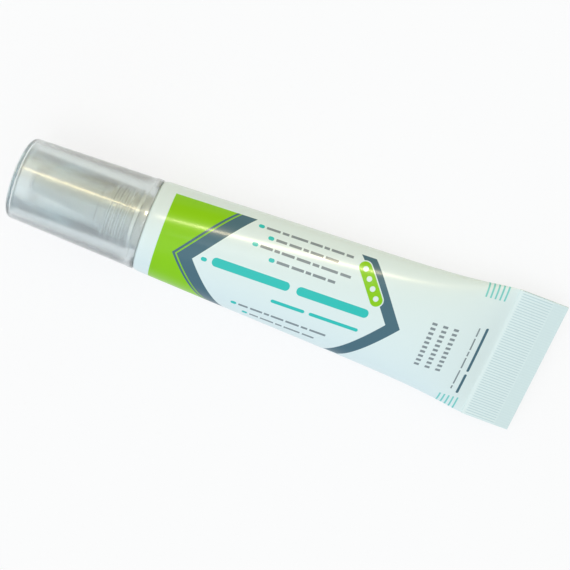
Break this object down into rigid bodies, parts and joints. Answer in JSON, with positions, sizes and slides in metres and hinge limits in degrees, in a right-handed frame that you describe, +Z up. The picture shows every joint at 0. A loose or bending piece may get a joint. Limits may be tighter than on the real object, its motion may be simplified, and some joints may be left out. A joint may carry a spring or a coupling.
{
  "type": "caulk tube",
  "caption": "Filled squeeze tube of sealant with a ribbed flat end seal, a threaded spout and a clear tapered screw cap that lifts off.",
  "frame": {"origin": "middle of the tube's length and width, on the surface that it lies on", "axes": "+X along the tube from the cap to the flat end seal, +Z up out of the printed front, +Y across the tube. The tube rests on its tapering underside, so its own axis slopes 3.6 degrees down towards the seal"},
  "size_m": [0.2028, 0.054, 0.0352],
  "materials": {
    "sleeve_film": "white printed film, satin gloss",
    "head_plastic": "natural polyethylene",
    "foil": "thin bright foil",
    "nozzle_plastic": "natural polyethylene, slightly see-through",
    "clear_cap_plastic": "milky clear polypropylene"
  },
  "bodies": {
    "tube": {"tube_body": "sleeve_film", "tube_head": "head_plastic", "foil_seal": "foil"},
    "spout": {"nozzle": "nozzle_plastic"},
    "screw_cap": {"cap": "clear_cap_plastic"}
  },
  "joints": [
    {"name": "nozzle_lift", "type": "slide", "parent": "tube", "child": "spout", "axis": [-0.998, 0, 0.0631], "range_m": [0, 0.015]},
    {"name": "cap_lift", "type": "slide", "parent": "spout", "child": "screw_cap", "axis": [-0.998, 0, 0.0631], "range_m": [0, 0.05]}
  ]
}
